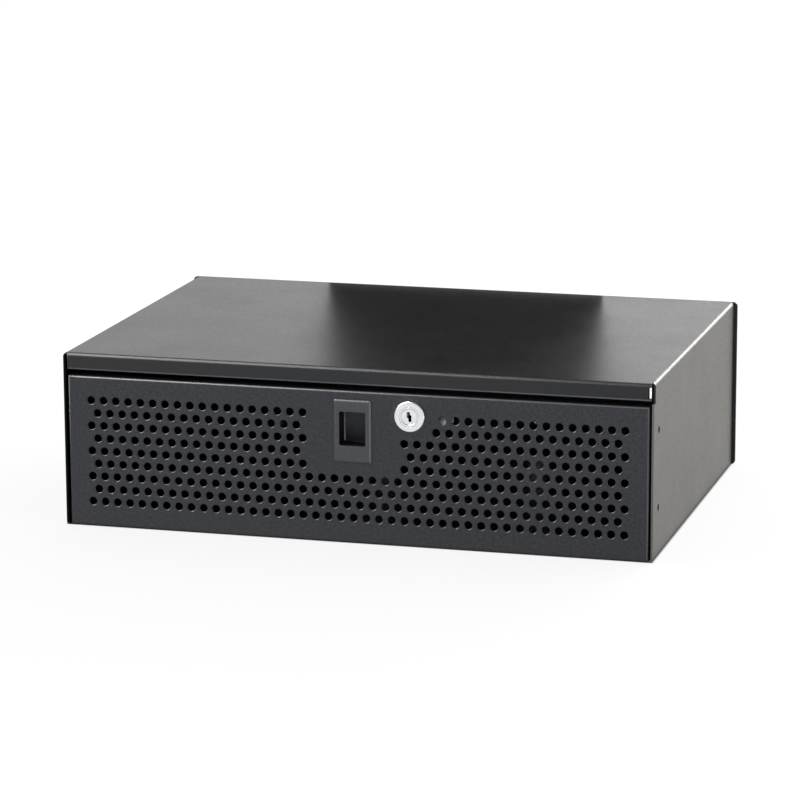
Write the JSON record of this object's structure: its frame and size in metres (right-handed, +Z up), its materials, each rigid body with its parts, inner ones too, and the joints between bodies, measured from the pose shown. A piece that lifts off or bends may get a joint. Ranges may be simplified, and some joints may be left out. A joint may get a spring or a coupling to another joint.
{
  "type": "rack mount lockbox",
  "caption": "Black sheet steel box for a 19 inch rack, with a perforated drop-down door, flush finger pull, cam lock and a rear plate that bolts to a column.",
  "frame": {"origin": "on the surface the box stands on, below the centre of its bounding box", "axes": "+X to the right of someone facing the door, +Y from the door to the rear plate, +Z up"},
  "size_m": [0.4478, 0.3174, 0.13],
  "materials": {
    "black_steel": "fine-textured satin black powder coat",
    "pull_plastic": "moulded, lightly grained",
    "lock_chrome": "bright plated",
    "zinc_steel": "clear zinc plated",
    "wafer_brass": "stamped",
    "black_rubber": "matte moulded"
  },
  "bodies": {
    "case": {"outer_cover": "black_steel", "base_pan": "black_steel", "rear_plate": "black_steel", "cable_grommet_left": "black_rubber", "cable_grommet_right": "black_rubber", "rear_screws": "zinc_steel", "floor_screws": "zinc_steel", "ear_nuts": "black_steel", "hinge_leaf_body": "black_steel", "hinge_pin": "zinc_steel", "stop_bracket_left": "black_steel", "stop_bracket_right": "black_steel", "door_bumpers": "black_rubber"},
    "door": {"door_panel": "black_steel", "hinge_leaf_door": "black_steel", "finger_pull": "pull_plastic", "lock_body": "lock_chrome", "lock_washer": "zinc_steel", "lock_nut": "zinc_steel"},
    "lock_cylinder": {"lock_plug": "lock_chrome", "lock_wafers": "wafer_brass", "lock_cam": "zinc_steel", "cam_screw": "zinc_steel"}
  },
  "joints": [
    {"name": "door_hinge", "type": "hinge", "parent": "case", "child": "door", "pos_m": [0, -0.1514, 0.005], "axis": [1, 0, 0], "range_deg": [0, 90]},
    {"name": "lock_turn", "type": "hinge", "parent": "door", "child": "lock_cylinder", "pos_m": [0.043, -0.1557, 0.097], "axis": [0, -1, 0], "range_deg": [0, 90]}
  ]
}
